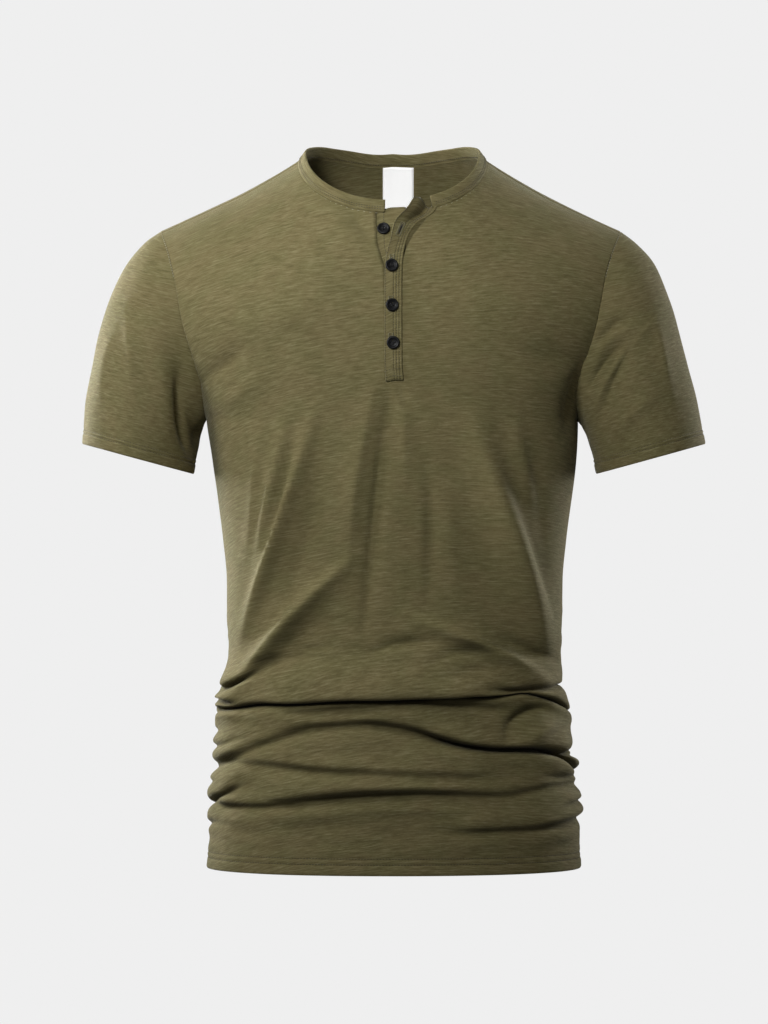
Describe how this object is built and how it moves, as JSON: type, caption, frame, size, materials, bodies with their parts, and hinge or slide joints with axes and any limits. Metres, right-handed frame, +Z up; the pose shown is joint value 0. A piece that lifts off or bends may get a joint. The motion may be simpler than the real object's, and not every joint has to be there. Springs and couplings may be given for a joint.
{
  "type": "henley shirt",
  "caption": "Short-sleeved henley shirt in slub jersey, worn shape, hollow, with a buttoned placket open at the neck.",
  "frame": {"origin": "middle of the neck opening at shoulder height, where the wearer's neck and shoulders hold the shirt", "axes": "+Z up the body, -Y the front of the shirt, +X to the right in a view of the front"},
  "size_m": [0.6217, 0.2366, 0.7215],
  "materials": {
    "jersey": "matt slub cotton jersey, olive green",
    "button": "glossy black",
    "label": "plain white woven label"
  },
  "bodies": {
    "root": {"front": "jersey", "back": "jersey", "sleeve_left": "jersey", "sleeve_right": "jersey", "neckband": "jersey", "placket_upper": "jersey", "placket_under": "jersey", "label": "label", "button_1": "button", "button_2": "button", "button_3": "button", "button_4": "button"}
  },
  "joints": []
}
